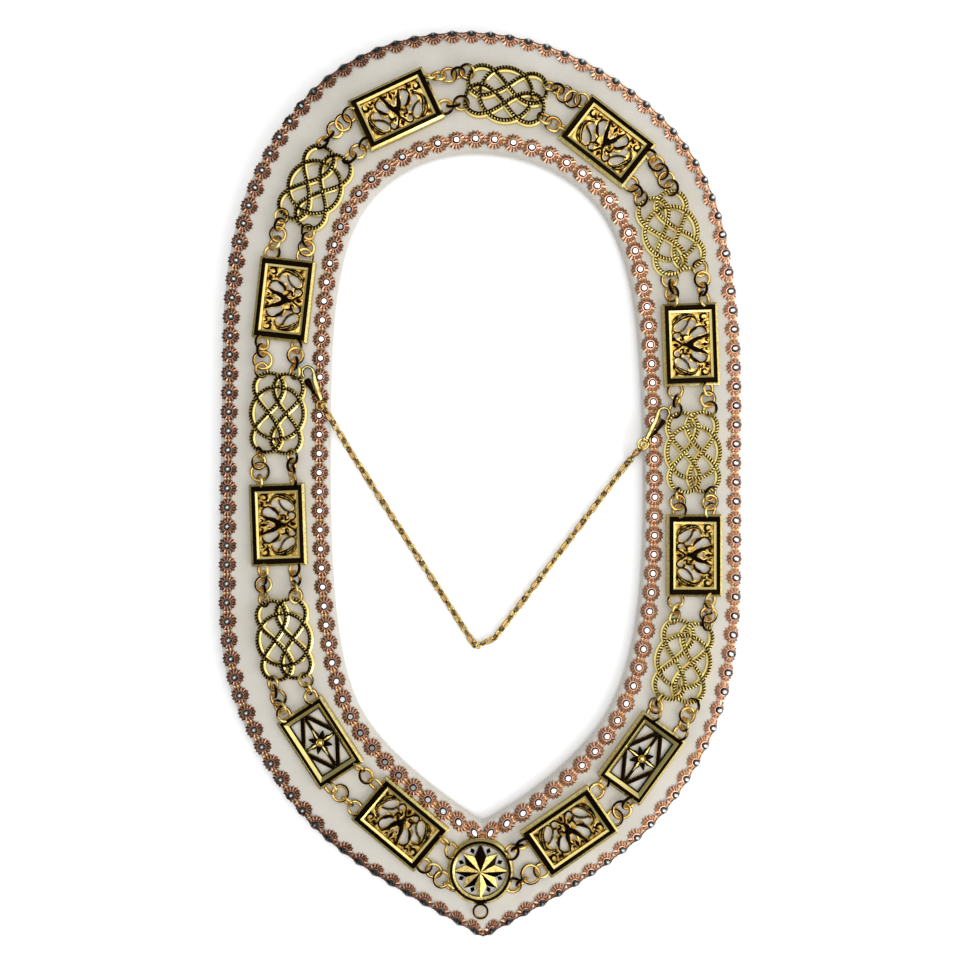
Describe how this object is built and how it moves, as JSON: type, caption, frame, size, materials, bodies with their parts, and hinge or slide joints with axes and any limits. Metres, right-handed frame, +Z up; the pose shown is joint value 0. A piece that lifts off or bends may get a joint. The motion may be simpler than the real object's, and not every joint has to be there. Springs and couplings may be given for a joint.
{
  "type": "chain collar",
  "caption": "Padded cloth regalia collar edged with stone trims, carrying a chain of cast plates on paired rings, with a clasped neck chain.",
  "frame": {"origin": "middle of the collar's outline, on the surface that it lies on", "axes": "+Y towards the back of the neck, -Y to the point at the front, +Z up from the cloth to the chain"},
  "size_m": [0.3173, 0.5441, 0.0161],
  "materials": {
    "cloth": "matt woven ivory cloth over padding",
    "gold": "polished yellow gold plating with dark patina in the recesses",
    "links": "polished gold-plated wire",
    "trim": "rose gold wire set with clear stones"
  },
  "bodies": {
    "collar": {"band": "cloth", "inner_trim": "trim", "outer_trim": "trim", "medallion": "gold", "filigree_plate_1": "gold", "filigree_plate_2": "gold", "filigree_plate_3": "gold", "filigree_plate_4": "gold", "filigree_plate_5": "gold", "filigree_plate_6": "gold", "filigree_plate_7": "gold", "filigree_plate_8": "gold", "rosette_plate_1": "gold", "rosette_plate_2": "gold", "knot_plate_1": "gold", "knot_plate_2": "gold", "knot_plate_3": "gold", "knot_plate_4": "gold", "knot_plate_5": "gold", "knot_plate_6": "gold", "knot_plate_7": "gold", "outer_rail_1": "links", "inner_rail_1": "links", "outer_rail_2": "links", "inner_rail_2": "links", "outer_rail_3": "links", "inner_rail_3": "links", "outer_rail_4": "links", "inner_rail_4": "links", "outer_rail_5": "links", "inner_rail_5": "links", "outer_rail_6": "links", "inner_rail_6": "links", "outer_rail_7": "links", "inner_rail_7": "links", "outer_rail_8": "links", "inner_rail_8": "links", "outer_rail_9": "links", "inner_rail_9": "links", "outer_rail_10": "links", "inner_rail_10": "links", "outer_rail_11": "links", "inner_rail_11": "links", "outer_rail_12": "links", "inner_rail_12": "links", "outer_rail_13": "links", "inner_rail_13": "links", "outer_rail_14": "links", "inner_rail_14": "links", "outer_rail_15": "links", "inner_rail_15": "links", "outer_rail_16": "links", "inner_rail_16": "links", "neck_chain": "links", "left_clasp": "gold", "right_clasp": "gold"},
    "left_lever": {"left_clasp_lever": "gold"},
    "right_lever": {"right_clasp_lever": "gold"}
  },
  "joints": [
    {"name": "left_clasp_hinge", "type": "hinge", "parent": "collar", "child": "left_lever", "pos_m": [-0.09808, 0.0551, 0.0125], "axis": [0, 0, -1], "range_deg": [0, 22], "stiffness_Nm_per_rad": 0.01},
    {"name": "right_clasp_hinge", "type": "hinge", "parent": "collar", "child": "right_lever", "pos_m": [0.10454, 0.03137, 0.0125], "axis": [0, 0, 1], "range_deg": [0, 22], "stiffness_Nm_per_rad": 0.01}
  ]
}
